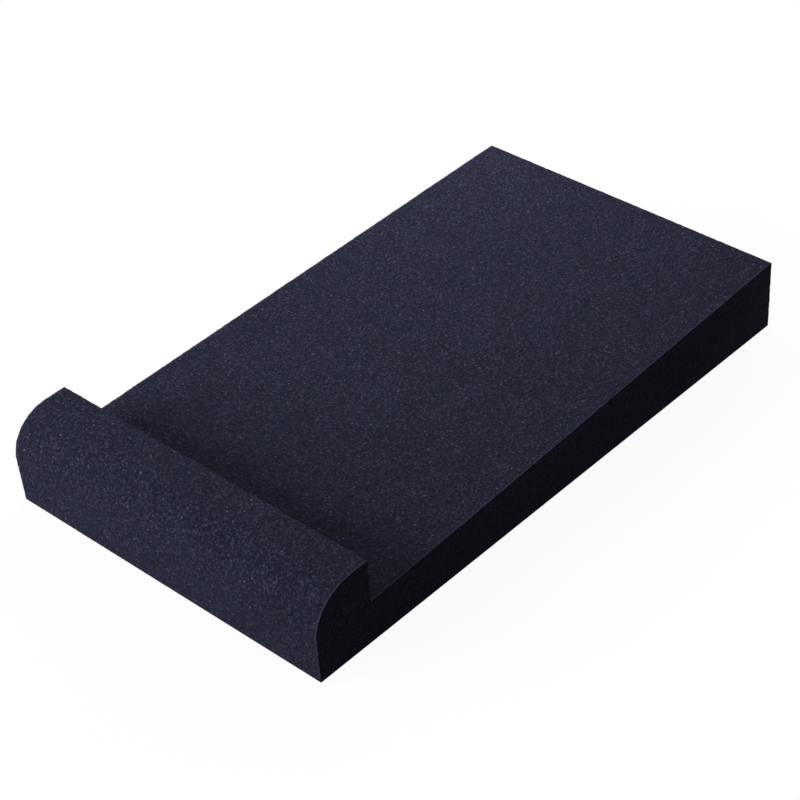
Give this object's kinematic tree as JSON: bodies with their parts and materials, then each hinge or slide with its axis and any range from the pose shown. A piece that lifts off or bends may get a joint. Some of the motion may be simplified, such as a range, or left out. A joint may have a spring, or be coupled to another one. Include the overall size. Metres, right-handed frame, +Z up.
{
  "type": "speaker isolation pad",
  "caption": "Wedge-shaped block of charcoal open-cell foam that a small speaker stands on, with a raised lip, rounded at the front, that stops the speaker from sliding off.",
  "frame": {"origin": "middle of the footprint, on the surface that the pad lies on", "axes": "+X along the lip, +Y from the lip towards the thick end, +Z up"},
  "size_m": [0.15, 0.2974, 0.04],
  "materials": {
    "charcoal_foam": "matt open-cell polyurethane foam, charcoal with a blue cast, fine pores on the cut faces"
  },
  "bodies": {
    "root": {"foam_pad": "charcoal_foam"}
  },
  "joints": []
}
